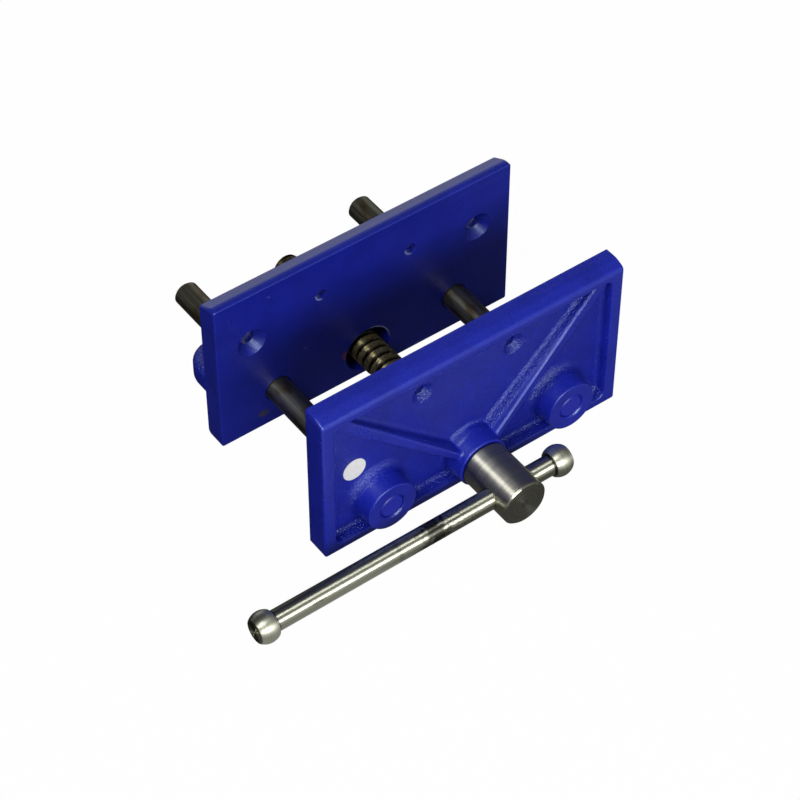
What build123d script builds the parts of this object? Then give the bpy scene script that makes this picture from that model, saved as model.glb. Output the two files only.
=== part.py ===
from build123d import *
import os
from math import cos, radians, sin, sqrt

os.makedirs("parts", exist_ok=True)

# A small plain-screw woodworking vise. X runs along the jaws, Y from the user towards the
# bench, Z up. The origin lies midway between the two bench screw holes, on the clamping face
# of the rear jaw. All sizes are in millimetres.
jaw_width = 165.0
jaw_height = 86.8
opening = 70.0
opening_max = 114.0

# Depths of the screw holes below the top of the jaws, and heights of the rods and the lead
# screw above their foot.
bench_hole_drop = 29.3
liner_hole_drop = 21.3
rod_lift = 19.6
screw_lift = 14.9

# Fits between pieces, and the overrun of every cut.
running_clearance = 0.08
seat_clearance = 0.02
loose_clearance = 0.3
face_clearance = 0.2
overrun = 4.0

# Front jaw casting: a framed plate with a dished front, three bosses and two ribs.
front_rim = 12.2
front_web = 6.2
front_side_border = 6.0
front_top_border = 6.8
front_foot_border = 4.5
front_pocket_corner = 4.5
front_pocket_root = 2.4
bevel_run = 5.7
bevel_drop = 2.2
bevel_round = 8.0
brow_round = 2.8
front_edge_round = 1.1
front_mouth_round = 0.9
casting_draft = 7.0  # degrees
boss_rise = 6.8
boss_diameter = 25.8
hub_diameter = 25.6
hub_draft = 5.0  # degrees
boss_spread = 0.6
boss_flare = 4.2
boss_edge_round = 0.7

# Each rib runs from beside the screw to a top corner of the jaw. Its crest falls away from
# the jaw's centre line to its ends.
rib_hub_offset = 6.0
rib_hub_lift = 3.5
rib_hub_width = 5.2
rib_corner_inset = 7.9
rib_corner_drop = 6.4
rib_corner_width = 7.6
rib_centre_rise = 10.1
rib_end_rise = 3.1
rib_draft = 4.0  # degrees
rib_crest_round = 1.2
rib_root_round = 2.1
rib_joint_round = 1.6

# Rear jaw casting: a plate that meets the bench, with a flange under the bench top.
rear_rim = 12.2
rear_web = 6.5
rear_border = 9.0
rear_pocket_corner = 4.0
rear_bevel_run = 8.0
rear_bevel_drop = 4.2
rear_brow_round = 1.5
rear_foot_round = 3.0
rear_end_round = 1.2
rear_face_round = 0.7
flange_lift = 18.2
flange_thickness = 12.0
flange_reach = 31.0
flange_edge_round = 3.0
ear_radius = 13.5
waist_width = 15.0
waist_depth = 11.0
waist_corner = 4.0
gusset_width = 6.0
gusset_reach = 18.0
gusset_height = 17.0
guide_diameter = 25.8
guide_reach = 31.5
nut_boss_diameter = 29.8
nut_boss_reach = 34.0
rear_boss_flare = 3.0
collar_pocket_diameter = 25.0
collar_pocket_depth = 12.5

# Holes for the bench screws, the wooden liners and the bolts under the bench.
bench_hole_inset = 19.1
bench_hole_diameter = 7.0
bench_sink_diameter = 15.2
liner_hole_spacing = 50.1
liner_hole_diameter = 5.2
liner_sink_diameter = 11.4
sink_angle = 90.0  # degrees
flange_hole_diameter = 7.0

# Guide rods and their spring pins.
rod_spacing = 101.3
rod_diameter = 12.7
rod_chamfer = 1.0
rod_recess = 0.3
rod_spare = 2.5
rod_mouth_chamfer = 0.7
rod_pin_diameter = 4.0
rod_pin_inset = 3.6
rod_pin_grip = 3.0
rod_pin_recess = 0.4
pin_bore_share = 0.5
pin_slot_share = 0.16

# Screw, nut, head and the collar that draws the front jaw back.
screw_diameter = 16.0
screw_chamfer = 1.6
screw_grip = 12.0
journal_diameter = 14.0
journal_chamfer = 0.8
nut_diameter = 22.0
nut_length = 19.0
nut_chamfer = 0.8
nut_screw_diameter = 5.0
nut_screw_bite = 1.5
nut_screw_recess = 0.6
nut_socket_width = 2.5
nut_socket_depth = 2.0
head_diameter = 23.5
head_length = 30.0
head_front_chamfer = 0.8
head_back_chamfer = 0.5
head_bore_depth = 11.0
head_pin_diameter = 4.0
head_pin_inset = 5.6
head_pin_angle = 149.5  # degrees, from the X axis upwards
washer_diameter = 22.0
washer_thickness = 1.5
collar_diameter = 21.0
collar_length = 8.0
collar_chamfer = 0.8
collar_pin_diameter = 3.0

# Handle bar with a ball end on each side, held loosely in the head.
bar_diameter = 10.0
bar_inset = 11.6
bar_left_reach = 132.2
bar_right_reach = 27.6
tenon_diameter = 8.0
tenon_chamfer = 0.5
knob_diameter = 15.2
knob_outer_half = 5.1
knob_inner_half = 4.3
knob_edge_round = 0.5

# Round paper sticker in the left half of the front pocket.
sticker_diameter = 12.0
sticker_thickness = 0.15
sticker_place_share = 0.656

# Places that follow from the sizes.
top = bench_hole_drop
bottom = top - jaw_height
rod_x = rod_spacing / 2
rod_z = bottom + rod_lift
screw_z = bottom + screw_lift
liner_z = top - liner_hole_drop
front_back_y = -opening
front_floor_y = front_back_y - front_web
web_middle_y = front_back_y - front_web / 2
front_face_y = front_back_y - front_rim
boss_face_y = front_face_y - boss_rise
rod_front_y = boss_face_y + rod_recess
rod_end_y = guide_reach + opening_max - opening + rod_spare
rod_pin_y = boss_face_y + rod_pin_inset
rod_pin_foot_z = rod_z - boss_diameter / 2 + rod_pin_recess
rod_pin_length = boss_diameter / 2 - rod_pin_recess + rod_diameter / 2 + rod_pin_grip
head_back_y = boss_face_y - face_clearance
head_front_y = head_back_y - head_length
head_pin_y = head_back_y - head_pin_inset
journal_front_y = head_back_y - head_bore_depth
bar_y = head_front_y + bar_inset
washer_y = front_back_y + face_clearance
collar_y = washer_y + washer_thickness + seat_clearance
collar_pin_y = collar_y + collar_length / 2
thread_y = collar_y + collar_length + seat_clearance
screw_end_y = collar_pocket_depth + opening_max - opening + screw_grip
nut_screw_y = collar_pocket_depth + nut_length / 2
nut_screw_foot_z = bottom + nut_screw_recess
nut_screw_top_z = screw_z - nut_diameter / 2 + nut_screw_bite
flange_bottom_z = rod_z + flange_lift - flange_thickness
knob_hole_diameter = tenon_diameter + 2 * seat_clearance

# Directions, and the two sides of the vise.
right = (1, 0, 0)
back = (0, 1, 0)
front = (0, -1, 0)
up = (0, 0, 1)
sides = {"left": -1, "right": 1}


def shaft(start, direction, diameter, length, mode=Mode.ADD):
    """Adds a plain round length to the part being built, or cuts one out of it."""
    with BuildSketch(Plane(origin=start, z_dir=direction)) as section:
        Circle(diameter / 2)
    extrude(section.sketch, amount=length, mode=mode)


def boss(x, z, diameter, base_y, floor_y, face_y, flare):
    """Adds a round boss that widens in a hollow curve where it meets its plate."""
    face_radius = diameter / 2
    root_radius = face_radius + boss_spread
    skirt_radius = root_radius + flare + boss_edge_round
    with BuildSketch(Plane(origin=(x, 0, z), x_dir=back, z_dir=right)) as half:
        with BuildLine():
            Polyline(
                (base_y, 0),
                (base_y, skirt_radius),
                (floor_y, skirt_radius),
                (floor_y, root_radius),
                (face_y, face_radius),
                (face_y, 0),
                close=True,
            )
        make_face()
        fillet(half.vertices().sort_by_distance((floor_y, root_radius))[0], radius=flare)
        fillet(half.vertices().sort_by_distance((face_y, face_radius))[0], radius=boss_edge_round)
    revolve(half.sketch, axis=Axis((x, 0, z), back))


# Hollow of the front jaw, with drafted walls and a rounded floor edge.
with BuildPart() as front_pocket:
    pocket_width = jaw_width - 2 * front_side_border
    pocket_height = jaw_height - front_top_border - front_foot_border
    with BuildSketch(Plane.front.offset(-front_face_y)):
        with Locations((0, bottom + front_foot_border + pocket_height / 2)):
            RectangleRounded(pocket_width, pocket_height, front_pocket_corner)
    extrude(amount=front_web - front_rim, taper=casting_draft)
    fillet(front_pocket.faces().sort_by(Axis.Y)[-1].edges(), radius=front_pocket_root)

# Right rib, widening outwards and falling away towards the corner.
with BuildPart() as rib:
    rib_start = Vector(rib_hub_offset, screw_z + rib_hub_lift)
    rib_stop = Vector(jaw_width / 2 - rib_corner_inset, top - rib_corner_drop)
    across = (rib_stop - rib_start).normalized().rotate(Axis.Z, 90)
    with BuildSketch(Plane.front.offset(opening + front_web / 2)):
        with BuildLine():
            Polyline(
                rib_start + across * rib_hub_width / 2,
                rib_stop + across * rib_corner_width / 2,
                rib_stop - across * rib_corner_width / 2,
                rib_start - across * rib_hub_width / 2,
                close=True,
            )
        make_face()
    extrude(amount=front_web + rib_centre_rise, taper=rib_draft)
    with BuildSketch(Plane.XY.offset(bottom)):
        with BuildLine():
            Polyline(
                (0, front_back_y),
                (0, front_floor_y - rib_centre_rise),
                (jaw_width / 2, front_floor_y - rib_end_rise),
                (jaw_width / 2, front_back_y),
                close=True,
            )
        make_face()
    extrude(amount=jaw_height, mode=Mode.INTERSECT)
    fillet(rib.faces().sort_by(Axis.Y)[0].edges(), radius=rib_crest_round)

# Web of the front jaw with the hub of the screw and both ribs, run into each other and into
# the web with hollow rounds. The web goes on below the jaw, where the hub overhangs it.
with BuildPart() as ribbed_web:
    with BuildSketch(Plane((0, boss_face_y, screw_z), z_dir=back)):
        Circle(hub_diameter / 2)
    extrude(amount=web_middle_y - boss_face_y, taper=-hub_draft)
    fillet(ribbed_web.faces().sort_by(Axis.Y)[0].edges(), radius=boss_edge_round)
    add(rib.part)
    add(mirror(rib.part, about=Plane.YZ, mode=Mode.PRIVATE))
    hub_side = ribbed_web.faces().filter_by(GeomType.CONE).sort_by(SortBy.AREA)[-1]
    joint_edges = hub_side.edges().filter_by(GeomType.CIRCLE, reverse=True)
    joint_edges = [edge for edge in joint_edges if abs(edge.center().X) > rib_hub_offset / 2]
    fillet(joint_edges, radius=rib_joint_round)
    web_foot = bottom - hub_diameter
    web_top = top - front_edge_round
    with BuildSketch(Plane.front.offset(-front_floor_y)):
        with Locations((0, (web_foot + web_top) / 2)):
            Rectangle(jaw_width - 2 * front_edge_round, web_top - web_foot)
    extrude(amount=-front_web / 2)
    dish_floor = [face for face in ribbed_web.faces() if face.inner_wires()][0]
    fillet(dish_floor.inner_wires()[0].edges(), radius=rib_root_round)

# Front jaw: the framed plate with its bevelled top, ribs, bosses and bores.
with BuildPart() as front_jaw:
    with BuildSketch(Plane.YZ) as profile:
        with BuildLine():
            Polyline(
                (front_back_y, bottom),
                (front_face_y, bottom),
                (front_face_y, top - bevel_drop),
                (front_face_y + bevel_run, top),
                (front_back_y, top),
                close=True,
            )
        make_face()
        fillet(profile.vertices().sort_by_distance((front_face_y + bevel_run, top))[0], radius=bevel_round)
        fillet(profile.vertices().sort_by_distance((front_face_y, top - bevel_drop))[0], radius=brow_round)
    extrude(amount=jaw_width / 2, both=True)
    clamping_edges = front_jaw.faces().sort_by(Axis.Y)[-1].edges()
    outer_edges = front_jaw.faces().sort_by(Axis.Y)[0].edges().sort_by(Axis.Z)[:1]
    for end in front_jaw.faces().filter_by(Axis.X):
        outer_edges += [edge for edge in end.edges() if edge not in clamping_edges]
    fillet(outer_edges, radius=front_edge_round)
    add(front_pocket.part, mode=Mode.SUBTRACT)
    fillet(front_jaw.faces().sort_by(Axis.Y)[0].inner_wires()[0].edges(), radius=front_mouth_round)
    add(ribbed_web.part)
    for side in sides.values():
        boss(side * rod_x, rod_z, boss_diameter, web_middle_y, front_floor_y, boss_face_y, boss_flare)
    split(bisect_by=Plane.XY.offset(bottom), keep=Keep.TOP)
    bore_length = front_rim + boss_rise + 2 * overrun
    bore_y = boss_face_y - overrun
    shaft((0, bore_y, screw_z), back, journal_diameter + 2 * running_clearance, bore_length, Mode.SUBTRACT)
    for side in sides.values():
        rod_hole = rod_diameter + 2 * seat_clearance
        shaft((side * rod_x, bore_y, rod_z), back, rod_hole, bore_length, Mode.SUBTRACT)
        rings = front_jaw.edges().filter_by(GeomType.CIRCLE)
        mouth = rings.sort_by_distance((side * rod_x, boss_face_y, rod_z))[0]
        chamfer(mouth, length=rod_mouth_chamfer)
        pin_hole = rod_pin_diameter + 2 * seat_clearance
        pin_start = (side * rod_x, rod_pin_y, rod_pin_foot_z - overrun)
        shaft(pin_start, up, pin_hole, rod_pin_length + overrun, Mode.SUBTRACT)
        with Locations(Plane((side * liner_hole_spacing / 2, front_floor_y, liner_z), z_dir=front)):
            CounterSinkHole(
                liner_hole_diameter / 2,
                liner_sink_diameter / 2,
                depth=front_web + overrun,
                counter_sink_angle=sink_angle,
            )
front_jaw.part.label = "front_jaw"
export_step(front_jaw.part, "parts/front_jaw.step")

# Hollow in the back of the rear jaw.
with BuildPart() as rear_pocket:
    with BuildSketch(Plane.front.offset(-rear_rim)):
        with Locations((0, bottom + jaw_height / 2)):
            RectangleRounded(jaw_width - 2 * rear_border, jaw_height - 2 * rear_border, rear_pocket_corner)
    extrude(amount=rear_rim - rear_web, taper=casting_draft)

# Flange that comes up against the underside of the bench top, waisted between the bosses.
waist_x = (rod_x - guide_diameter / 2 + nut_boss_diameter / 2) / 2
with BuildPart() as flange:
    with BuildSketch(Plane.XY.offset(flange_bottom_z)) as plan:
        with Locations((0, (flange_reach + rear_web / 2) / 2)):
            Rectangle(jaw_width, flange_reach - rear_web / 2)
        fillet(plan.vertices().group_by(Axis.Y)[-1], radius=ear_radius)
        with Locations(*[(side * waist_x, flange_reach) for side in sides.values()]):
            Rectangle(waist_width, 2 * waist_depth, mode=Mode.SUBTRACT)
        waist_y = flange_reach - waist_depth
        for side in sides.values():
            for step in sides.values():
                for y in (waist_y, flange_reach):
                    corner = (side * waist_x + step * waist_width / 2, y)
                    fillet(plan.vertices().sort_by_distance(corner)[0], radius=waist_corner)
    extrude(amount=flange_thickness)
    root_edges = flange.faces().sort_by(Axis.Y)[0].edges()
    for level in (flange.faces().sort_by(Axis.Z)[0], flange.faces().sort_by(Axis.Z)[-1]):
        fillet([edge for edge in level.edges() if edge not in root_edges], radius=flange_edge_round)

# Rear jaw: plate, flange, gussets, guides for the rods and the boss that holds the nut.
with BuildPart() as rear_jaw:
    with BuildSketch(Plane.YZ) as profile:
        with BuildLine():
            Polyline(
                (0, bottom),
                (rear_rim, bottom),
                (rear_rim, top - rear_bevel_drop),
                (rear_rim - rear_bevel_run, top),
                (0, top),
                close=True,
            )
        make_face()
        fillet(profile.vertices().sort_by_distance((rear_rim - rear_bevel_run, top))[0], radius=bevel_round)
        fillet(profile.vertices().sort_by_distance((rear_rim, top - rear_bevel_drop))[0], radius=rear_brow_round)
        fillet(profile.vertices().sort_by_distance((rear_rim, bottom))[0], radius=rear_foot_round)
    extrude(amount=jaw_width / 2, both=True)
    clamping_edges = rear_jaw.faces().sort_by(Axis.Y)[0].edges()
    for end in rear_jaw.faces().filter_by(Axis.X):
        fillet([edge for edge in end.edges() if edge not in clamping_edges], radius=rear_end_round)
    fillet(rear_jaw.faces().sort_by(Axis.Y)[0].edges(), radius=rear_face_round)
    add(rear_pocket.part, mode=Mode.SUBTRACT)
    add(flange.part)
    rear_middle_y = rear_web / 2
    for side in sides.values():
        boss(side * rod_x, rod_z, guide_diameter, rear_middle_y, rear_web, guide_reach, rear_boss_flare)
        with BuildSketch(Plane.YZ.offset(side * waist_x)) as web:
            with BuildLine():
                Polyline(
                    (rear_middle_y, flange_bottom_z + flange_thickness / 2),
                    (gusset_reach, flange_bottom_z + flange_thickness / 2),
                    (gusset_reach, flange_bottom_z),
                    (rear_web, flange_bottom_z - gusset_height),
                    (rear_middle_y, flange_bottom_z - gusset_height),
                    close=True,
                )
            make_face()
        extrude(amount=gusset_width / 2, both=True)
    boss(0, screw_z, nut_boss_diameter, rear_middle_y, rear_web, nut_boss_reach, rear_boss_flare)
    split(bisect_by=Plane.XY.offset(bottom), keep=Keep.TOP)
    shaft((0, -overrun, screw_z), back, nut_diameter, nut_boss_reach + 2 * overrun, Mode.SUBTRACT)
    shaft((0, 0, screw_z), back, collar_pocket_diameter, collar_pocket_depth, Mode.SUBTRACT)
    grub_hole = nut_screw_diameter + 2 * seat_clearance
    shaft((0, nut_screw_y, bottom - overrun), up, grub_hole, overrun + screw_z - bottom, Mode.SUBTRACT)
    for side in sides.values():
        guide_hole = rod_diameter + 2 * running_clearance
        guide_length = guide_reach + 2 * overrun
        shaft((side * rod_x, -overrun, rod_z), back, guide_hole, guide_length, Mode.SUBTRACT)
        for y in (0, guide_reach):
            rings = rear_jaw.edges().filter_by(GeomType.CIRCLE)
            mouth = rings.sort_by_distance((side * rod_x, y, rod_z))[0]
            chamfer(mouth, length=rod_mouth_chamfer)
        with Locations(Plane((side * (jaw_width / 2 - bench_hole_inset), 0, 0), z_dir=front)):
            CounterSinkHole(
                bench_hole_diameter / 2,
                bench_sink_diameter / 2,
                depth=rear_rim + overrun,
                counter_sink_angle=sink_angle,
            )
        with Locations(Plane((side * liner_hole_spacing / 2, rear_web, liner_z), z_dir=back)):
            CounterSinkHole(
                liner_hole_diameter / 2,
                liner_sink_diameter / 2,
                depth=rear_web + overrun,
                counter_sink_angle=sink_angle,
            )
        bolt_start = (side * (jaw_width / 2 - ear_radius), flange_reach - ear_radius, bottom)
        shaft(bolt_start, up, flange_hole_diameter, jaw_height, Mode.SUBTRACT)
rear_jaw.part.label = "rear_jaw"
export_step(rear_jaw.part, "parts/rear_jaw.step")

# Steel guide rods, pinned in the front jaw and sliding in the rear jaw.
for side_name, side in sides.items():
    with BuildPart() as guide_rod:
        shaft((side * rod_x, rod_front_y, rod_z), back, rod_diameter, rod_end_y - rod_front_y)
        chamfer(guide_rod.faces().sort_by(Axis.Y)[0].edges(), length=rod_chamfer)
        chamfer(guide_rod.faces().sort_by(Axis.Y)[-1].edges(), length=rod_chamfer)
        pin_start = (side * rod_x, rod_pin_y, rod_z - rod_diameter)
        shaft(pin_start, up, rod_pin_diameter + 2 * seat_clearance, 2 * rod_diameter, Mode.SUBTRACT)
    guide_rod.part.label = "guide_rod_" + side_name
    export_step(guide_rod.part, "parts/guide_rod_" + side_name + ".step")

    # Rolled spring pin, open along one side, driven up through the boss and the rod.
    with BuildPart() as rod_pin:
        with BuildSketch(Plane((side * rod_x, rod_pin_y, rod_pin_foot_z))):
            Circle(rod_pin_diameter / 2)
            Circle(rod_pin_diameter * pin_bore_share / 2, mode=Mode.SUBTRACT)
            with Locations((0, rod_pin_diameter / 2)):
                Rectangle(rod_pin_diameter * pin_slot_share, rod_pin_diameter, mode=Mode.SUBTRACT)
        extrude(amount=rod_pin_length)
    rod_pin.part.label = "guide_rod_pin_" + side_name
    export_step(rod_pin.part, "parts/guide_rod_pin_" + side_name + ".step")

# Lead screw: a plain journal at the front and the threaded length behind the collar.
head_pin_across = (cos(radians(head_pin_angle)), 0, sin(radians(head_pin_angle)))
head_pin_start = Vector(0, head_pin_y, screw_z) - Vector(*head_pin_across) * head_diameter / 2
head_pin_hole = head_pin_diameter + 2 * seat_clearance
collar_pin_start = (0, collar_pin_y, screw_z - collar_diameter / 2)
collar_pin_hole = collar_pin_diameter + 2 * seat_clearance
with BuildPart() as lead_screw:
    shaft((0, journal_front_y, screw_z), back, journal_diameter, thread_y - journal_front_y)
    shaft((0, thread_y, screw_z), back, screw_diameter, screw_end_y - thread_y)
    chamfer(lead_screw.faces().sort_by(Axis.Y)[0].edges(), length=journal_chamfer)
    chamfer(lead_screw.faces().sort_by(Axis.Y)[-1].edges(), length=screw_chamfer)
    shaft(head_pin_start, head_pin_across, head_pin_hole, head_diameter, Mode.SUBTRACT)
    shaft(collar_pin_start, up, collar_pin_hole, collar_diameter, Mode.SUBTRACT)
lead_screw.part.label = "lead_screw"
export_step(lead_screw.part, "parts/lead_screw.step")

# Round head that carries the handle, bored blind from behind for the screw.
with BuildPart() as screw_head:
    shaft((0, head_back_y, screw_z), front, head_diameter, head_length)
    chamfer(screw_head.faces().sort_by(Axis.Y)[0].edges(), length=head_front_chamfer)
    chamfer(screw_head.faces().sort_by(Axis.Y)[-1].edges(), length=head_back_chamfer)
    head_bore = journal_diameter + 2 * seat_clearance
    shaft((0, journal_front_y, screw_z), back, head_bore, head_bore_depth, Mode.SUBTRACT)
    bar_hole = bar_diameter + 2 * loose_clearance
    shaft((-head_diameter, bar_y, screw_z), right, bar_hole, 2 * head_diameter, Mode.SUBTRACT)
    shaft(head_pin_start, head_pin_across, head_pin_hole, head_diameter, Mode.SUBTRACT)
screw_head.part.label = "screw_head"
export_step(screw_head.part, "parts/screw_head.step")

# Cross pin through head and screw, its ends ground flush with the head.
with BuildPart() as screw_head_pin:
    shaft(head_pin_start, head_pin_across, head_pin_diameter, head_diameter)
    shaft((0, head_back_y, screw_z), front, head_diameter, head_length, Mode.INTERSECT)
screw_head_pin.part.label = "screw_head_pin"
export_step(screw_head_pin.part, "parts/screw_head_pin.step")

# Washer and collar behind the front jaw, which pull it back when the vise is opened.
with BuildPart() as retaining_washer:
    shaft((0, washer_y, screw_z), back, washer_diameter, washer_thickness)
    shaft((0, washer_y, screw_z), back, journal_diameter + 2 * seat_clearance, washer_thickness, Mode.SUBTRACT)
retaining_washer.part.label = "retaining_washer"
export_step(retaining_washer.part, "parts/retaining_washer.step")

with BuildPart() as retaining_collar:
    shaft((0, collar_y, screw_z), back, collar_diameter, collar_length)
    chamfer(retaining_collar.edges(), length=collar_chamfer)
    shaft((0, collar_y, screw_z), back, journal_diameter + 2 * seat_clearance, collar_length, Mode.SUBTRACT)
    shaft(collar_pin_start, up, collar_pin_hole, collar_diameter, Mode.SUBTRACT)
retaining_collar.part.label = "retaining_collar"
export_step(retaining_collar.part, "parts/retaining_collar.step")

with BuildPart() as retaining_collar_pin:
    shaft(collar_pin_start, up, collar_pin_diameter, collar_diameter)
    shaft((0, collar_y, screw_z), back, collar_diameter, collar_length, Mode.INTERSECT)
retaining_collar_pin.part.label = "retaining_collar_pin"
export_step(retaining_collar_pin.part, "parts/retaining_collar_pin.step")

# Nut pressed into the rear jaw from behind, and the grub screw that locks it from below.
with BuildPart() as lead_nut:
    nut_start = (0, collar_pocket_depth, screw_z)
    shaft(nut_start, back, nut_diameter - 2 * seat_clearance, nut_length)
    chamfer(lead_nut.edges(), length=nut_chamfer)
    shaft(nut_start, back, screw_diameter + 2 * running_clearance, nut_length, Mode.SUBTRACT)
    dimple_length = nut_screw_top_z - bottom
    shaft((0, nut_screw_y, bottom), up, grub_hole, dimple_length, Mode.SUBTRACT)
lead_nut.part.label = "lead_nut"
export_step(lead_nut.part, "parts/lead_nut.step")

with BuildPart() as lead_nut_screw:
    foot = (0, nut_screw_y, nut_screw_foot_z)
    shaft(foot, up, nut_screw_diameter, nut_screw_top_z - nut_screw_foot_z)
    with BuildSketch(Plane(foot)):
        RegularPolygon(nut_socket_width / 2, 6, major_radius=False)
    extrude(amount=nut_socket_depth, mode=Mode.SUBTRACT)
lead_nut_screw.part.label = "lead_nut_screw"
export_step(lead_nut_screw.part, "parts/lead_nut_screw.step")

# Handle bar, turned down at both ends to take the knobs.
with BuildPart() as handle_bar:
    bar_start_x = knob_inner_half - bar_left_reach
    bar_stop_x = bar_right_reach - knob_inner_half
    tenon_start_x = -bar_left_reach - knob_outer_half
    tenon_stop_x = bar_right_reach + knob_outer_half
    shaft((bar_start_x, bar_y, screw_z), right, bar_diameter, bar_stop_x - bar_start_x)
    shaft((tenon_start_x, bar_y, screw_z), right, tenon_diameter, tenon_stop_x - tenon_start_x)
    chamfer(handle_bar.faces().sort_by(Axis.X)[0].edges(), length=tenon_chamfer)
    chamfer(handle_bar.faces().sort_by(Axis.X)[-1].edges(), length=tenon_chamfer)
handle_bar.part.label = "handle_bar"
export_step(handle_bar.part, "parts/handle_bar.step")

# Ball knobs with a flat on each side, riveted on the ends of the bar.
for side_name, reach in (("left", -bar_left_reach), ("right", bar_right_reach)):
    outward = (sides[side_name], 0, 0)
    with BuildPart() as knob:
        with BuildSketch(Plane((reach, bar_y, screw_z), x_dir=outward, z_dir=(0, -sides[side_name], 0))) as half:
            Circle(knob_diameter / 2)
            with Locations(((knob_outer_half - knob_inner_half) / 2, knob_hole_diameter / 2 + knob_diameter / 2)):
                Rectangle(knob_outer_half + knob_inner_half, knob_diameter, mode=Mode.INTERSECT)
            rims = half.vertices().sort_by(Axis.Y)[-2:]
            fillet(rims, radius=knob_edge_round)
        revolve(axis=Axis((reach, bar_y, screw_z), right))
    knob.part.label = "handle_knob_" + side_name
    export_step(knob.part, "parts/handle_knob_" + side_name + ".step")

# Round sticker on the floor of the front pocket, just clear of the left boss and the wall.
with BuildPart() as inspection_sticker:
    wall_x = jaw_width / 2 - front_side_border - front_pocket_root - sticker_diameter / 2
    sticker_run = (wall_x - rod_x) * sticker_place_share
    sticker_reach = boss_diameter / 2 + boss_spread + boss_flare + sticker_diameter / 2 + face_clearance
    sticker_z = rod_z + sqrt(sticker_reach**2 - sticker_run**2)
    shaft((-rod_x - sticker_run, front_floor_y, sticker_z), front, sticker_diameter, sticker_thickness)
inspection_sticker.part.label = "inspection_sticker"
export_step(inspection_sticker.part, "parts/inspection_sticker.step")
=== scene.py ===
import math
import bmesh
import bpy
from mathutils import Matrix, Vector


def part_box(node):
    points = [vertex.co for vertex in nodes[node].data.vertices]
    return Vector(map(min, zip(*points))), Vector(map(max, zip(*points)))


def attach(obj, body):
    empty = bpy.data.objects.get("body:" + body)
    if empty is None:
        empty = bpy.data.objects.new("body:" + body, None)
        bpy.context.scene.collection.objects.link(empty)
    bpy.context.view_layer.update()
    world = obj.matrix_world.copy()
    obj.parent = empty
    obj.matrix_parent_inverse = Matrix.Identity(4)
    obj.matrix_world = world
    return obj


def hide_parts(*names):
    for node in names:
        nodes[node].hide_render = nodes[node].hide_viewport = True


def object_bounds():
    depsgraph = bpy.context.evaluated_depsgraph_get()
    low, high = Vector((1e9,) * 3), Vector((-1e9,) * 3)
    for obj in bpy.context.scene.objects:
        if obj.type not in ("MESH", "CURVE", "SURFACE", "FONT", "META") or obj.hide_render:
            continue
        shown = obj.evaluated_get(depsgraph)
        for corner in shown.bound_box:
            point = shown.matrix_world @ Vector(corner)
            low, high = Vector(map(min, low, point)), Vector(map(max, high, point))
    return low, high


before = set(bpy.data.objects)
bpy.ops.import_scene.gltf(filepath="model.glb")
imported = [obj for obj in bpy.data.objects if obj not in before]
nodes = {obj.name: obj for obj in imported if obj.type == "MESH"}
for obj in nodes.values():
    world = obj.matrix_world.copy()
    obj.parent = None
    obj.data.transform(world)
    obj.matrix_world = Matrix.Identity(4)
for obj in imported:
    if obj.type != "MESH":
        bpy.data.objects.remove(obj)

solid_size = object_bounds()

# Rear jaw. Grey iron cast in sand, its clamping face and edges ground flat, then the whole
# casting sprayed with thick blue enamel. Two countersunk holes take the bench screws, two
# plain ones the screws of a wooden liner. The paint is rubbed and chipped near one rod.
enamel_blue = (0.0078, 0.0148, 0.318, 1)
enamel_deep = (0.0055, 0.0108, 0.248, 1)
bare_iron = (0.055, 0.045, 0.035, 1)
rusty_grease = (0.20, 0.035, 0.020, 1)
rubbed_enamel = (0.18, 0.20, 0.32, 1)
scratched_enamel = (0.07, 0.08, 0.34, 1)
# The next two colours are painted highlights on edges of the clamping face.
pocket_edge_highlight = (0.55, 0.60, 0.85, 1)
hole_edge_highlight = (0.26, 0.32, 0.60, 1)
screw_line = (0, 0, -0.0426)
pocket_radius = 0.0127
liner_hole_x = 0.02505
liner_hole_z = 0.008
liner_hole_radius = 0.0031


def finish(name):
    """An empty material and the three things that its recipe works on."""
    material = bpy.data.materials.new(name)
    material.use_nodes = True
    tree = material.node_tree
    return material, tree, tree.nodes["Principled BSDF"]


def place(tree):
    """The position on the piece, in metres in the frame of the vise."""
    return tree.nodes.new("ShaderNodeTexCoord").outputs["Object"]


def noise(tree, scale, detail=2, stretch=(1, 1, 1)):
    """Cloudy noise in the frame of the vise, with a scale in cells for each metre."""
    mapping = tree.nodes.new("ShaderNodeMapping")
    mapping.inputs["Scale"].default_value = stretch
    tree.links.new(place(tree), mapping.inputs["Vector"])
    cloud = tree.nodes.new("ShaderNodeTexNoise")
    cloud.inputs["Scale"].default_value = scale
    cloud.inputs["Detail"].default_value = detail
    tree.links.new(mapping.outputs["Vector"], cloud.inputs["Vector"])
    return cloud.outputs["Fac"]


def span(tree, value, low, high, start=0.0, stop=1.0):
    """Takes the values from low to high on to those from start to stop, and no further."""
    node = tree.nodes.new("ShaderNodeMapRange")
    node.inputs["From Min"].default_value = low
    node.inputs["From Max"].default_value = high
    node.inputs["To Min"].default_value = start
    node.inputs["To Max"].default_value = stop
    tree.links.new(value, node.inputs["Value"])
    return node.outputs["Result"]


def combine(tree, operation, first, second):
    """One sum of two values, each a number or another node's result."""
    node = tree.nodes.new("ShaderNodeMath")
    node.operation = operation
    for socket, value in zip(node.inputs, (first, second)):
        if isinstance(value, (int, float)):
            socket.default_value = value
        else:
            tree.links.new(value, socket)
    return node.outputs["Value"]


def times(tree, first, *others):
    """The product of two or more values."""
    for other in others:
        first = combine(tree, "MULTIPLY", first, other)
    return first


def away_from(tree, value, target):
    """How far a value is from another, on either side."""
    return combine(tree, "ABSOLUTE", combine(tree, "SUBTRACT", value, target), 0)


def darker(colour, share):
    """A share of a colour."""
    return tuple(share * part for part in colour[:3]) + (1,)


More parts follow.
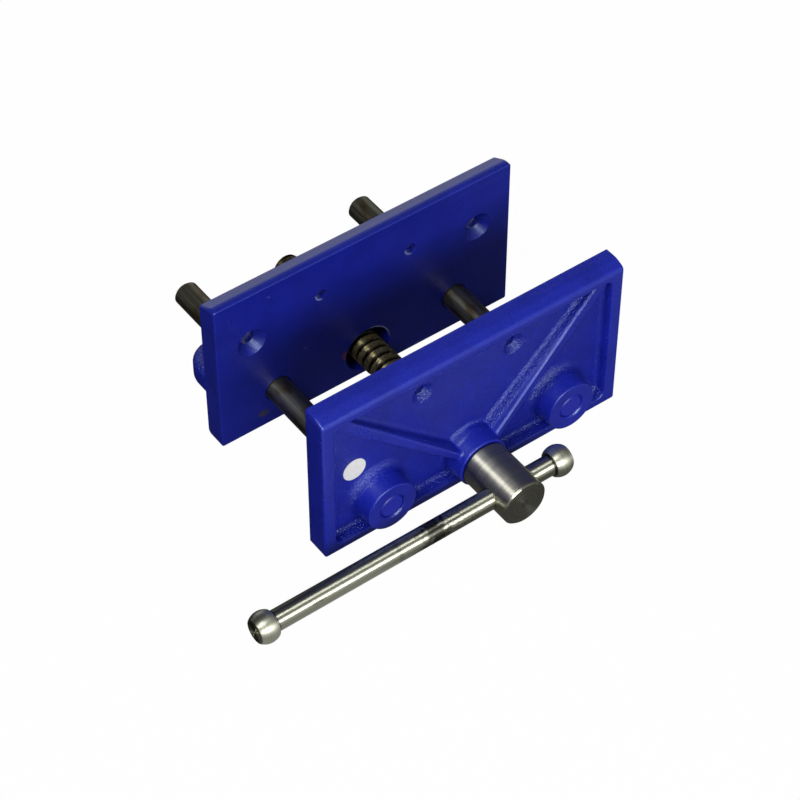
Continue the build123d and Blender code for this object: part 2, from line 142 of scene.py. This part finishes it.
def blend_colours(tree, share, first, second):
    """A colour between two others, each a colour or another node's result."""
    node = tree.nodes.new("ShaderNodeMix")
    node.data_type = "RGBA"
    for socket, value in ((node.inputs["A"], first), (node.inputs["B"], second)):
        if isinstance(value, tuple):
            socket.default_value = value
        else:
            tree.links.new(value, socket)
    tree.links.new(share, node.inputs["Factor"])
    return node.outputs["Result"]


def paint_over(tree, share, colour):
    """Lays a colour over what the finish has so far."""
    base = tree.nodes["Principled BSDF"].inputs["Base Color"]
    tree.links.new(blend_colours(tree, share, base.links[0].from_socket, colour), base)


def along(tree, axis):
    """The position along one axis of the vise, in metres."""
    parts = tree.nodes.new("ShaderNodeSeparateXYZ")
    tree.links.new(place(tree), parts.inputs["Vector"])
    return parts.outputs[axis]


def from_line(tree, axis, centre):
    """The distance from a line along an axis, through a point."""
    offset = tree.nodes.new("ShaderNodeVectorMath")
    offset.operation = "SUBTRACT"
    offset.inputs[1].default_value = centre
    tree.links.new(place(tree), offset.inputs[0])
    flat = tree.nodes.new("ShaderNodeVectorMath")
    flat.operation = "MULTIPLY"
    flat.inputs[1].default_value = tuple(0 if letter == axis else 1 for letter in "XYZ")
    tree.links.new(offset.outputs["Vector"], flat.inputs[0])
    radius = tree.nodes.new("ShaderNodeVectorMath")
    radius.operation = "LENGTH"
    tree.links.new(flat.outputs["Vector"], radius.inputs[0])
    return radius.outputs["Value"]


def ring_about(tree, axis, centre, radius, solid, gone, strength=1.0):
    """A ring about a line, full within one distance of its radius and gone beyond another."""
    away = away_from(tree, from_line(tree, axis, centre), radius)
    return span(tree, away, solid, gone, strength, 0)


def patch(tree, centre, half_sizes, ragged, cells):
    """1 in a ragged oval spot about a point and 0 outside it."""
    mapping = tree.nodes.new("ShaderNodeMapping")
    mapping.vector_type = "TEXTURE"
    mapping.inputs["Location"].default_value = centre
    mapping.inputs["Scale"].default_value = half_sizes
    tree.links.new(place(tree), mapping.inputs["Vector"])
    away = tree.nodes.new("ShaderNodeVectorMath")
    away.operation = "LENGTH"
    tree.links.new(mapping.outputs["Vector"], away.inputs[0])
    cloud = times(tree, combine(tree, "SUBTRACT", noise(tree, cells, 3), 0.5), ragged)
    return span(tree, combine(tree, "ADD", away.outputs["Value"], cloud), 0.85, 1.0, 1, 0)


def raise_surface(tree, surface, height, depth):
    """Bumps a finish by a height from 0 to 1 that stands for a depth in metres."""
    node = tree.nodes.new("ShaderNodeBump")
    node.inputs["Strength"].default_value = 1
    node.inputs["Distance"].default_value = depth
    tree.links.new(height, node.inputs["Height"])
    tree.links.new(node.outputs["Normal"], surface.inputs["Normal"])


def blue_enamel(name, lit_share, cast_from, cast_to, ground_z):
    """Enamel with the casting's grain under it, darkened to a lit share of its colour as a
    painted shade where a jaw lies in shade. The grain runs between two places along Y and
    below a height. Elsewhere the iron was ground, and the enamel is smooth and a little duller."""
    ground_grain = 0.25
    peel_depth = 0.0007
    material, tree, surface = finish(name)
    cloud = combine(tree, "ADD", noise(tree, 60, 3), noise(tree, 1100, 2))
    tone = span(tree, cloud, 0.8, 1.2)
    colour = blend_colours(tree, tone, darker(enamel_deep, lit_share), darker(enamel_blue, lit_share))
    tree.links.new(colour, surface.inputs["Base Color"])
    surface.inputs["IOR"].default_value = 1.65
    surface.inputs["Specular Tint"].default_value = (0.74, 0.90, 1, 1)
    grain = times(
        tree,
        span(tree, along(tree, "Y"), cast_from - 0.0020, cast_from, ground_grain, 1),
        span(tree, along(tree, "Y"), cast_to, cast_to + 0.0008, 1, ground_grain),
        span(tree, along(tree, "Z"), ground_z - 0.0007, ground_z, 1, ground_grain),
    )
    peel = times(tree, noise(tree, 1350, 2), 0.85)
    sand = times(tree, noise(tree, 2400, 1), 0.15)
    raise_surface(tree, surface, times(tree, combine(tree, "ADD", peel, sand), grain), peel_depth)
    satin = span(tree, noise(tree, 900, 3), 0.3, 0.7, 0.12, 0.22)
    duller = span(tree, grain, ground_grain, 1, 0.15, 0)
    tree.links.new(combine(tree, "ADD", satin, duller), surface.inputs["Roughness"])
    return material


def dress(name, material):
    """Gives a carried-over piece its finish."""
    piece = nodes[name]
    piece.data.materials.clear()
    piece.data.materials.append(material)


# Painted shade: the rear jaw's enamel is painted at 0.86 of the front jaw's brightness.
rear_enamel = blue_enamel("rear_jaw_enamel", 0.86, cast_from=0.0120, cast_to=1, ground_z=0.0250)
rear_tree = rear_enamel.node_tree
for spot_x, spot_z, half_x, half_z, spot_colour in (
    (-0.0592, -0.0492, 0.0032, 0.0021, bare_iron),
    (-0.0349, -0.0207, 0.0012, 0.0003, rubbed_enamel),
    (-0.0536, 0.0228, 0.0009, 0.0005, scratched_enamel),
    (-0.0131, -0.0395, 0.0014, 0.0029, rusty_grease),
):
    spot = patch(rear_tree, (spot_x, 0, spot_z), (half_x, 0.002, half_z), ragged=1.1, cells=900)
    flakes = span(rear_tree, noise(rear_tree, 1700, 2), 0.42, 0.56, 0.35, 1)
    paint_over(rear_tree, times(rear_tree, spot, flakes), spot_colour)
# On the clamping face alone, painted highlights lie along the upper right edge of the
# collar's pocket and along the lower left edges of the two liner holes.
in_face = span(rear_tree, along(rear_tree, "Y"), 0.0004, 0.0008, 1, 0)
up_right = combine(rear_tree, "ADD", along(rear_tree, "X"), along(rear_tree, "Z"))
pocket_rim = ring_about(rear_tree, "Y", screw_line, pocket_radius, 0.0001, 0.0005)
pocket_side = span(rear_tree, up_right, -0.030, -0.024)
pocket_glint = times(rear_tree, pocket_rim, pocket_side, in_face, 0.8)
paint_over(rear_tree, pocket_glint, pocket_edge_highlight)
for hole_x in (-liner_hole_x, liner_hole_x):
    hole_place = (hole_x, 0, liner_hole_z)
    hole_rim = ring_about(rear_tree, "Y", hole_place, liner_hole_radius, 0.0002, 0.0007, 0.65)
    hole_middle = hole_x + liner_hole_z
    hole_side = span(rear_tree, up_right, hole_middle - 0.0036, hole_middle - 0.0026, 1, 0)
    paint_over(rear_tree, times(rear_tree, hole_rim, hole_side, in_face), hole_edge_highlight)
dress("rear_jaw", rear_enamel)


# Nut and its grub screw. A turned iron bush pressed into the rear jaw from behind, locked by a
# black socket grub screw from below. Both are hidden in the casting but for their ends.
def plain_metal(name, colour, roughness):
    """Bare metal with a little unevenness in tone and polish."""
    material, tree, surface = finish(name)
    tone = span(tree, noise(tree, 400, 4), 0.3, 0.7)
    metal = blend_colours(tree, tone, darker(colour, 0.72), colour)
    tree.links.new(metal, surface.inputs["Base Color"])
    polish = span(tree, tone, 0, 1, roughness * 0.8, roughness * 1.2)
    tree.links.new(polish, surface.inputs["Roughness"])
    surface.inputs["Metallic"].default_value = 1
    raise_surface(tree, surface, noise(tree, 1200, 2), 0.00003)
    return material


dress("lead_nut", plain_metal("nut_iron", (0.20, 0.19, 0.18, 1), 0.45))
dress("lead_nut_screw", plain_metal("grub_screw_steel", (0.06, 0.06, 0.065, 1), 0.40))

# Front jaw. A second casting with a dished front, two ribs that spread from the screw's hub
# to the top corners, and bosses that hold the guide rods. Under the enamel the dish keeps the
# grain of the sand, while the rim, the back and the top are ground.
front_enamel = blue_enamel(
    "front_jaw_enamel", 1, cast_from=-0.0798, cast_to=-0.0710, ground_z=0.0265
)
dress("front_jaw", front_enamel)


# Guide rods. Ground steel bars of half an inch, dark with oil, pinned into the front jaw. They
# were in place when the jaw was sprayed, so their front ends are blue.
def rod_steel():
    """Dark oiled steel, drawn along its length, with blue enamel over its front end."""
    dark_steel = (0.20, 0.195, 0.15, 1)
    pale_steel = (0.31, 0.305, 0.24, 1)
    old_oil = (0.17, 0.125, 0.065, 1)
    material, tree, surface = finish("guide_rod_steel")
    streak = span(tree, noise(tree, 900, 3, stretch=(1, 0.02, 1)), 0.3, 0.7)
    steel = blend_colours(tree, streak, dark_steel, pale_steel)
    film = span(tree, noise(tree, 220, 4, stretch=(1, 0.4, 1)), 0.48, 0.68)
    steel = blend_colours(tree, film, steel, old_oil)
    painted = span(tree, along(tree, "Y"), -0.0850, -0.0849, 1, 0)
    tree.links.new(blend_colours(tree, painted, steel, enamel_blue), surface.inputs["Base Color"])
    tree.links.new(span(tree, painted, 0, 1, 1, 0), surface.inputs["Metallic"])
    tree.links.new(span(tree, streak, 0, 1, 0.38, 0.48), surface.inputs["Roughness"])
    raise_surface(tree, surface, noise(tree, 2600, 2, stretch=(1, 0.03, 1)), 0.000008)
    return material


guide_rod_finish = rod_steel()
pin_finish = plain_metal("spring_pin_steel", (0.22, 0.21, 0.20, 1), 0.35)
for side in ("left", "right"):
    dress("guide_rod_" + side, guide_rod_finish)
    dress("guide_rod_pin_" + side, pin_finish)


# Lead screw. A turned steel bar with a coarse right-hand trapezoid thread, packed with dark
# grease, and with its roots painted almost black as grease and painted shade in the grooves.
# Its plain front end runs in the front jaw.
thread_pitch = 0.005
thread_depth = 0.0019
thread_flank = 0.0004
thread_land = 0.0026
thread_columns = 72
thread_end_chamfer = 0.0016
journal_radius = 0.0070
journal_chamfer = 0.0008
journal_columns = 64
collar_clearance = 0.0003
shoulder_step = 0.0001
cut_tolerance = 1e-6
sharp_turn = math.radians(35)


def stretch_shine(tree, surface, axis, amount):
    """Stretches the highlights along an axis, as grooves round that axis do."""
    surface.inputs["Anisotropic"].default_value = amount
    surface.inputs["Anisotropic Rotation"].default_value = 0.25
    tangent = tree.nodes.new("ShaderNodeTangent")
    tangent.direction_type = "RADIAL"
    tangent.axis = axis
    tree.links.new(tangent.outputs["Tangent"], surface.inputs["Tangent"])


def screw_steel():
    """Steel under brown grease, bright on the lands and painted almost black in the roots, as
    grease and painted shade in the grooves. The grease is thick past the face of the rear jaw."""
    dull_land = (0.13, 0.105, 0.045, 1)
    bright_land = (0.46, 0.41, 0.22, 1)
    root_grease_and_shade = (0.022, 0.019, 0.011, 1)
    far_grease = (0.05, 0.042, 0.02, 1)
    material, tree, surface = finish("lead_screw_steel")
    smear = span(tree, noise(tree, 600, 4, stretch=(1, 2.5, 1)), 0.35, 0.65)
    land = blend_colours(tree, smear, dull_land, bright_land)
    height = span(tree, from_line(tree, "Y", screw_line), 0.0066, 0.0078)
    # Painted shade with grease: the colour darkens to almost black towards the thread's roots.
    tree.links.new(blend_colours(tree, height, root_grease_and_shade, land), surface.inputs["Base Color"])
    paint_over(tree, span(tree, along(tree, "Y"), 0, 0.04, 0, 0.8), far_grease)
    surface.inputs["Metallic"].default_value = 0.85
    tree.links.new(span(tree, height, 0, 1, 0.55, 0.42), surface.inputs["Roughness"])
    stretch_shine(tree, surface, "Y", 0.9)
    raise_surface(tree, surface, noise(tree, 1500, 2, stretch=(0.3, 1, 0.3)), 0.00003)
    return material


def mesh_of(grid, name):
    """The mesh of a finished grid, with its faces turned outward."""
    bmesh.ops.recalc_face_normals(grid, faces=grid.faces)
    mesh = bpy.data.meshes.new(name)
    grid.to_mesh(mesh)
    grid.free()
    return mesh


def round_mesh(name, rings, axis_z):
    """A closed round mesh about a line along Y, from pairs of a place on it and a radius."""
    grid = bmesh.new()
    loops = []
    for y, radius in rings:
        loop = []
        for column in range(journal_columns):
            angle = math.tau * column / journal_columns
            point = (radius * math.cos(angle), y, axis_z + radius * math.sin(angle))
            loop.append(grid.verts.new(point))
        loops.append(loop)
    for near, far in zip(loops, loops[1:]):
        for column in range(journal_columns):
            after = (column + 1) % journal_columns
            grid.faces.new((near[column], near[after], far[after], far[column]))
    grid.faces.new(loops[0])
    grid.faces.new(list(reversed(loops[-1])))
    return mesh_of(grid, name)


def thread_mesh(start_y, stop_y, radius, axis_z):
    """The threaded length as one helical sheet, cut off square at both ends and closed."""
    turns = int((stop_y - start_y) / thread_pitch) + 3
    root = radius - thread_depth
    gap = thread_pitch - thread_land - 2 * thread_flank
    land_start = gap + thread_flank
    profile = ((0, root), (gap, root), (land_start, radius), (land_start + thread_land, radius))
    grid = bmesh.new()
    lines = []
    for turn in range(-1, turns):
        for shift, height in profile:
            line = []
            for column in range(thread_columns + 1):
                angle = math.tau * column / thread_columns
                y = start_y + thread_pitch * (turn + column / thread_columns) + shift
                line.append((angle, y, height))
            lines.append(line)
    # Each line's last point is the point where the next turn's line starts.
    shared = {}

    def vertex(angle, y, height):
        limit = radius - thread_end_chamfer + max(0.0, min(stop_y - y, thread_end_chamfer))
        reach = min(height, limit)
        key = (round(math.cos(angle) * 1e6), round(y * 1e9), round(math.sin(angle) * 1e6))
        if key not in shared:
            point = (reach * math.cos(angle), y, axis_z + reach * math.sin(angle))
            shared[key] = grid.verts.new(point)
        return shared[key]

    for near, far in zip(lines, lines[1:]):
        for column in range(thread_columns):
            corners = near[column], near[column + 1], far[column + 1], far[column]
            grid.faces.new([vertex(*corner) for corner in corners])
    for y, side in ((start_y, -1), (stop_y, 1)):
        everything = grid.verts[:] + grid.edges[:] + grid.faces[:]
        bmesh.ops.bisect_plane(
            grid, geom=everything, plane_co=(0, y, 0), plane_no=(0, side, 0), clear_outer=True
        )
        rim = [
            edge
            for edge in grid.edges
            if edge.is_boundary and all(abs(vert.co.y - y) < cut_tolerance for vert in edge.verts)
        ]
        bmesh.ops.contextual_create(grid, geom=rim)
    return mesh_of(grid, "lead_screw_thread")


def add_piece(name, mesh, material, body, replaced):
    """Puts a mesh in the scene, riding on its body in place of the piece it stands for."""
    mesh.materials.append(material)
    piece = bpy.data.objects.new(name, mesh)
    bpy.context.scene.collection.objects.link(piece)
    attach(piece, body)
    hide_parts(replaced)


screw_low, screw_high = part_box("lead_screw")
collar_low, collar_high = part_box("retaining_collar")
screw_z = (screw_low[2] + screw_high[2]) / 2
screw_radius = (screw_high[2] - screw_low[2]) / 2
thread_start = collar_high[1] + collar_clearance
journal = round_mesh(
    "lead_screw",
    (
        (screw_low[1], journal_radius - journal_chamfer),
        (screw_low[1] + journal_chamfer, journal_radius),
        (collar_high[1], journal_radius),
        (collar_high[1] + shoulder_step, screw_radius - thread_depth),
        (thread_start + shoulder_step, screw_radius - thread_depth),
    ),
    screw_z,
)
joined = bmesh.new()
joined.from_mesh(journal)
joined.from_mesh(thread_mesh(thread_start, screw_high[1], screw_radius, screw_z))
joined.to_mesh(journal)
joined.free()
journal.shade_smooth()
journal.set_sharp_from_angle(angle=sharp_turn)
add_piece("lead_screw_threaded", journal, screw_steel(), "screw", "lead_screw")


# Screw head and its cross pin. Turned from bright bar and pinned to the screw, then turned
# again with the pin in place, so that the pin's ends are flush and take the same shine.
def turned_steel(name, axis, end_centre, colour, roughness, rings, end_share, stretch):
    """Bright steel with the fine rings of the lathe about a line. The end that a point lies
    on shows dark rings, and has its own share of the roughness."""
    material, tree, surface = finish(name)
    from_axis = from_line(tree, axis, end_centre)
    groove = tree.nodes.new("ShaderNodeTexNoise")
    groove.noise_dimensions = "2D"
    groove.inputs["Scale"].default_value = rings
    groove.inputs["Detail"].default_value = 3
    spot = tree.nodes.new("ShaderNodeCombineXYZ")
    tree.links.new(from_axis, spot.inputs["X"])
    tree.links.new(along(tree, axis), spot.inputs["Y"])
    tree.links.new(spot.outputs["Vector"], groove.inputs["Vector"])
    line = span(tree, groove.outputs["Fac"], 0.3, 0.7)
    steel = blend_colours(tree, line, darker(colour, 0.82), colour)
    tree.links.new(steel, surface.inputs["Base Color"])
    band = tree.nodes.new("ShaderNodeTexNoise")
    band.noise_dimensions = "1D"
    band.inputs["Scale"].default_value = 0.35 * rings
    band.inputs["Detail"].default_value = 2
    tree.links.new(from_axis, band.inputs["W"])
    from_end = away_from(tree, along(tree, axis), end_centre["XYZ".index(axis)])
    on_end = span(tree, from_end, 0.0001, 0.0003, 1, 0)
    ringed = times(tree, span(tree, band.outputs["Fac"], 0.38, 0.62, 0, 0.5), on_end)
    paint_over(tree, ringed, darker(colour, 0.4))
    rough = span(tree, line, 0, 1, roughness * 0.9, roughness * 1.1)
    rough = times(tree, rough, span(tree, on_end, 0, 1, 1, end_share))
    tree.links.new(rough, surface.inputs["Roughness"])
    surface.inputs["Metallic"].default_value = 1
    stretch_shine(tree, surface, axis, stretch)
    raise_surface(tree, surface, groove.outputs["Fac"], 0.000001)
    return material


hub_gap_shadow = (0.02, 0.02, 0.02, 1)
head_low, head_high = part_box("screw_head")
head_steel = turned_steel(
    "screw_head_steel",
    "Y",
    ((head_low[0] + head_high[0]) / 2, head_low[1], (head_low[2] + head_high[2]) / 2),
    (0.45, 0.44, 0.365, 1),
    roughness=0.42,
    rings=2600,
    end_share=0.45,
    stretch=0.97,
)
# A painted shadow runs round the head's back edge, where it meets the hub.
head_tree = head_steel.node_tree
head_y = along(head_tree, "Y")
head_gap_shadow = span(head_tree, head_y, head_high[1] - 0.0011, head_high[1] - 0.0006, 0, 0.85)
paint_over(head_tree, head_gap_shadow, hub_gap_shadow)
dress("screw_head", head_steel)
dress("screw_head_pin", head_steel)

# Washer, collar and collar pin behind the front jaw. Plain turned steel under the same grease
# as the screw: the collar pulls the jaw back when the screw is undone.
collar_finish = plain_metal("collar_steel", (0.20, 0.18, 0.13, 1), 0.35)
for name in ("retaining_washer", "retaining_collar", "retaining_collar_pin"):
    dress(name, collar_finish)

# Handle. A polished bar that slides loosely through the head, with a ball end riveted on each
# side. Grease from hands and from the head has left a dark mark near its middle.
bar_low, bar_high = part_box("handle_bar")
bar_middle = tuple((low + high) / 2 for low, high in zip(bar_low, bar_high))
joint_painted_shade = (0.04, 0.04, 0.035, 1)
rivet_line = (0.05, 0.05, 0.045, 1)
end_steel = (0.16, 0.16, 0.10, 1)
rivet_radius = 0.0044


def from_bar_middle(tree):
    """How far a place is from the middle of the bar, along it."""
    return away_from(tree, along(tree, "X"), bar_middle[0])


def on_bar_end(tree, strength):
    """The riveted ends of the bar and the rims of the knobs round them."""
    return span(tree, from_bar_middle(tree), 0.0846, 0.0849, 0, strength)


def bar_steel():
    """Polished bar, drawn along X, with painted shade on its back half and the marks of hands
    and of the head.
    """
    dull_steel = (0.60, 0.61, 0.49, 1)
    bright_steel = (0.74, 0.75, 0.61, 1)
    back_painted_shade = (0.16, 0.16, 0.09, 1)
    ring_scratch = (0.16, 0.15, 0.12, 1)
    brown_scuff = (0.20, 0.15, 0.09, 1)
    dark_speck = (0.17, 0.16, 0.12, 1)
    black_stain = (0.045, 0.042, 0.038, 1)
    ring_x, speck_x, stain_x = -0.063, -0.033, -0.044
    scuff_place = (-0.1065, -0.1119, -0.0401)
    scuff_half_sizes = (0.0036, 0.0006, 0.0006)

    material, tree, surface = finish("handle_bar_steel")
    place_x = along(tree, "X")
    streak = span(tree, noise(tree, 1100, 3, stretch=(0.02, 1, 1)), 0.3, 0.7)
    steel = blend_colours(tree, streak, dull_steel, bright_steel)
    tree.links.new(steel, surface.inputs["Base Color"])

    # Painted shade: the back half of the bar is darkened, as if in its own shade.
    behind = combine(tree, "SUBTRACT", along(tree, "Y"), bar_middle[1])
    paint_over(tree, span(tree, behind, -0.0008, 0.0014, 0, 0.6), back_painted_shade)
    ring = span(tree, away_from(tree, place_x, ring_x), 0.0004, 0.0018, 0.4, 0)
    ring = times(tree, ring, span(tree, noise(tree, 700, 2), 0.35, 0.5))
    paint_over(tree, ring, ring_scratch)
    scuff = patch(tree, scuff_place, scuff_half_sizes, ragged=1.4, cells=1100)
    paint_over(tree, times(tree, scuff, 0.6), brown_scuff)
    speck = span(tree, noise(tree, 1500, 2, stretch=(0.6, 1, 1)), 0.50, 0.58, 0, 0.6)
    near_specks = span(tree, away_from(tree, place_x, speck_x), 0.009, 0.016, 1, 0)
    paint_over(tree, times(tree, speck, near_specks), dark_speck)
    # Painted shade: a dark band on the bar where it runs into each knob.
    joint = span(tree, from_bar_middle(tree), 0.0744, 0.0750, 0, 0.85)
    joint = times(tree, joint, span(tree, from_bar_middle(tree), 0.080, 0.081, 1, 0))
    paint_over(tree, joint, joint_painted_shade)
    paint_over(tree, on_bar_end(tree, 0.9), end_steel)
    ragged = times(tree, combine(tree, "SUBTRACT", noise(tree, 380, 4), 0.5), 0.022)
    stain_away = away_from(tree, combine(tree, "ADD", place_x, ragged), stain_x)
    stain = span(tree, stain_away, 0.0035, 0.008, 0.85, 0)
    paint_over(tree, stain, black_stain)

    surface.inputs["Metallic"].default_value = 1
    polish = span(tree, combine(tree, "ADD", streak, stain), 0, 1.5, 0.43, 0.53)
    tree.links.new(polish, surface.inputs["Roughness"])
    stretch_shine(tree, surface, "X", 1.0)
    raise_surface(tree, surface, noise(tree, 1600, 2, stretch=(0.02, 1, 1)), 0.000001)
    return material


dress("handle_bar", bar_steel())
knob_finish = turned_steel(
    "knob_steel",
    "X",
    (bar_low[0], bar_middle[1], bar_middle[2]),
    (0.68, 0.69, 0.56, 1),
    roughness=0.46,
    rings=2200,
    end_share=1,
    stretch=0.7,
)
# A dark line runs round the rivet on each ball's end, and a painted shade darkens each
# ball's inner face where it meets the bar.
knob_tree = knob_finish.node_tree
rivet_gap = ring_about(knob_tree, "X", bar_middle, rivet_radius, 0.0002, 0.0005, 0.8)
paint_over(knob_tree, rivet_gap, rivet_line)
paint_over(knob_tree, on_bar_end(knob_tree, 0.85), end_steel)
inner_face = span(knob_tree, from_bar_middle(knob_tree), 0.0761, 0.0765, 1, 0)
neck = span(knob_tree, from_line(knob_tree, "X", bar_middle), 0.0056, 0.0062, 0.9, 0)
paint_over(knob_tree, times(knob_tree, inner_face, neck), joint_painted_shade)
for side in ("left", "right"):
    dress("handle_knob_" + side, knob_finish)


# Inspection sticker. A small disc of coated white paper, stuck in the hollow of the front jaw
# beside the left boss.
def sticker_paper():
    """White coated paper."""
    grey_paper = (0.70, 0.70, 0.68, 1)
    white_paper = (0.80, 0.80, 0.78, 1)
    material, tree, surface = finish("sticker_paper")
    tone = span(tree, noise(tree, 500, 3), 0.3, 0.7)
    paper = blend_colours(tree, tone, grey_paper, white_paper)
    tree.links.new(paper, surface.inputs["Base Color"])
    surface.inputs["Roughness"].default_value = 0.4
    raise_surface(tree, surface, noise(tree, 2000, 2), 0.00001)
    return material


dress("inspection_sticker", sticker_paper())


# Camera. A long lens, above and to the left of someone who stands before the vise, turned to
# the middle of the vise.
def turned_to(start, target):
    """The turn that points a camera or a lamp from one place at another."""
    return (target - start).to_track_quat("-Z", "Y").to_euler()


camera_place = Vector((-0.50304, -0.70826, 0.85649))
camera_aim = Vector((-0.02540, -0.06000, -0.00993))
camera_data = bpy.data.cameras.new("camera")
camera_data.lens = 120.04
camera_data.sensor_width = 36
camera_data.clip_start = 0.05
camera = bpy.data.objects.new("camera", camera_data)
camera.location = camera_place
camera.rotation_euler = turned_to(camera_place, camera_aim)
bpy.context.scene.collection.objects.link(camera)
bpy.context.scene.camera = camera


# Studio. A large soft lamp in front, a little above the vise, and a smaller one high at the
# left. The room has a white floor, a white wall behind at the right, a grey screen in front,
# and a pale ceiling that fills the shadows.
def soft_lamp(name, direction, distance, width, height, watts):
    """An oblong lamp that faces the vise from a direction."""
    data = bpy.data.lights.new(name, "AREA")
    data.shape = "RECTANGLE"
    data.size = width
    data.size_y = height
    data.energy = watts
    lamp = bpy.data.objects.new(name, data)
    lamp.location = camera_aim + Vector(direction).normalized() * distance
    lamp.rotation_euler = turned_to(lamp.location, camera_aim)
    bpy.context.scene.collection.objects.link(lamp)


soft_lamp("lamp_front", (-0.22, -0.90, 0.415), distance=1.3, width=1.0, height=0.45, watts=15)
soft_lamp("lamp_left", (-0.56, -0.18, 0.81), distance=1.3, width=0.36, height=0.40, watts=7.6)

floor_mesh = bpy.data.meshes.new("floor")
floor_grid = bmesh.new()
bmesh.ops.create_grid(floor_grid, x_segments=1, y_segments=1, size=3)
floor_grid.to_mesh(floor_mesh)
floor_grid.free()
floor = bpy.data.objects.new("floor", floor_mesh)
floor.location = (0, 0, solid_size[0][2])
bpy.context.scene.collection.objects.link(floor)


def ray_kinds(tree):
    """Whether a ray comes to the camera, is mirrored in something, or lights it dully."""
    rays = tree.nodes.new("ShaderNodeLightPath").outputs
    seen = combine(tree, "MAXIMUM", rays["Is Camera Ray"], rays["Is Transmission Ray"])
    return seen, rays["Is Glossy Ray"], rays["Is Diffuse Ray"]


def white_floor():
    """White to the camera but for the vise's faint shadow. In reflections it is dim under the
    vise, and brighter in front of it, far behind it and beside the handle."""
    camera_glow = 0.985
    material = bpy.data.materials.new("floor_white")
    material.use_nodes = True
    tree = material.node_tree
    tree.nodes.clear()
    paint = tree.nodes.new("ShaderNodeBsdfDiffuse")
    paint.inputs["Color"].default_value = (0.45, 0.45, 0.45, 1)
    glow = tree.nodes.new("ShaderNodeEmission")
    seen, mirrored, _ = ray_kinds(tree)
    share = combine(tree, "MAXIMUM", times(tree, seen, camera_glow), mirrored)
    place_x, place_y = along(tree, "X"), along(tree, "Y")
    under = span(tree, place_x, -0.10, -0.06, 0.03, 0.11)
    under = times(tree, under, span(tree, place_y, -0.10, -0.06, 1, 0.25))
    in_front = span(tree, place_y, -0.20, -0.16, 0.55, 0)
    far = combine(tree, "ADD", in_front, span(tree, place_y, 0.25, 0.45, 0, 0.6))
    beside = span(tree, place_x, -0.065, -0.050, 0.35, 0)
    beside = times(tree, beside, span(tree, place_y, -0.11, -0.10, 1, 0))
    zones = combine(tree, "MAXIMUM", combine(tree, "MAXIMUM", under, far), beside)
    not_mirrored = combine(tree, "SUBTRACT", 1, mirrored)
    strength = combine(tree, "ADD", times(tree, mirrored, zones), not_mirrored)
    tree.links.new(strength, glow.inputs["Strength"])
    mix = tree.nodes.new("ShaderNodeMixShader")
    tree.links.new(share, mix.inputs["Fac"])
    tree.links.new(paint.outputs["BSDF"], mix.inputs[1])
    tree.links.new(glow.outputs["Emission"], mix.inputs[2])
    out = tree.nodes.new("ShaderNodeOutputMaterial")
    tree.links.new(mix.outputs["Shader"], out.inputs["Surface"])
    return material


floor_mesh.materials.append(white_floor())


def pale_room():
    """White to the camera. In reflections it is a dark room with a white wall behind at the
    right and a grey screen in front, and its ceiling gives a soft fill light."""
    screen_grey = 0.42
    dark_walls = 0.04
    room = bpy.data.worlds.new("room")
    bpy.context.scene.world = room
    room.use_nodes = True
    tree = room.node_tree
    seen, mirrored, filled = ray_kinds(tree)
    toward = tree.nodes.new("ShaderNodeSeparateXYZ")
    generated = tree.nodes.new("ShaderNodeTexCoord").outputs["Generated"]
    tree.links.new(generated, toward.inputs["Vector"])
    toward_x, toward_y, toward_z = (toward.outputs[letter] for letter in "XYZ")
    back_wall = times(
        tree,
        span(tree, toward_z, 0.38, 0.52, 1, 0),
        span(tree, toward_y, 0.50, 0.70),
        span(tree, toward_x, 0.0, 0.2),
    )
    front_screen = span(tree, toward_y, -0.60, -0.45, screen_grey, 0)
    walls = combine(tree, "MAXIMUM", back_wall, front_screen)
    walls = times(tree, mirrored, combine(tree, "MAXIMUM", walls, dark_walls))
    ceiling = times(tree, filled, span(tree, toward_z, 0.75, 0.95, 0.01, 1.15))
    level = combine(tree, "MAXIMUM", combine(tree, "MAXIMUM", seen, walls), ceiling)
    background = tree.nodes["Background"]
    tree.links.new(level, background.inputs["Strength"])
    background.inputs["Color"].default_value = (1, 1, 1, 1)


pale_room()

bpy.context.scene.view_settings.view_transform = "Standard"
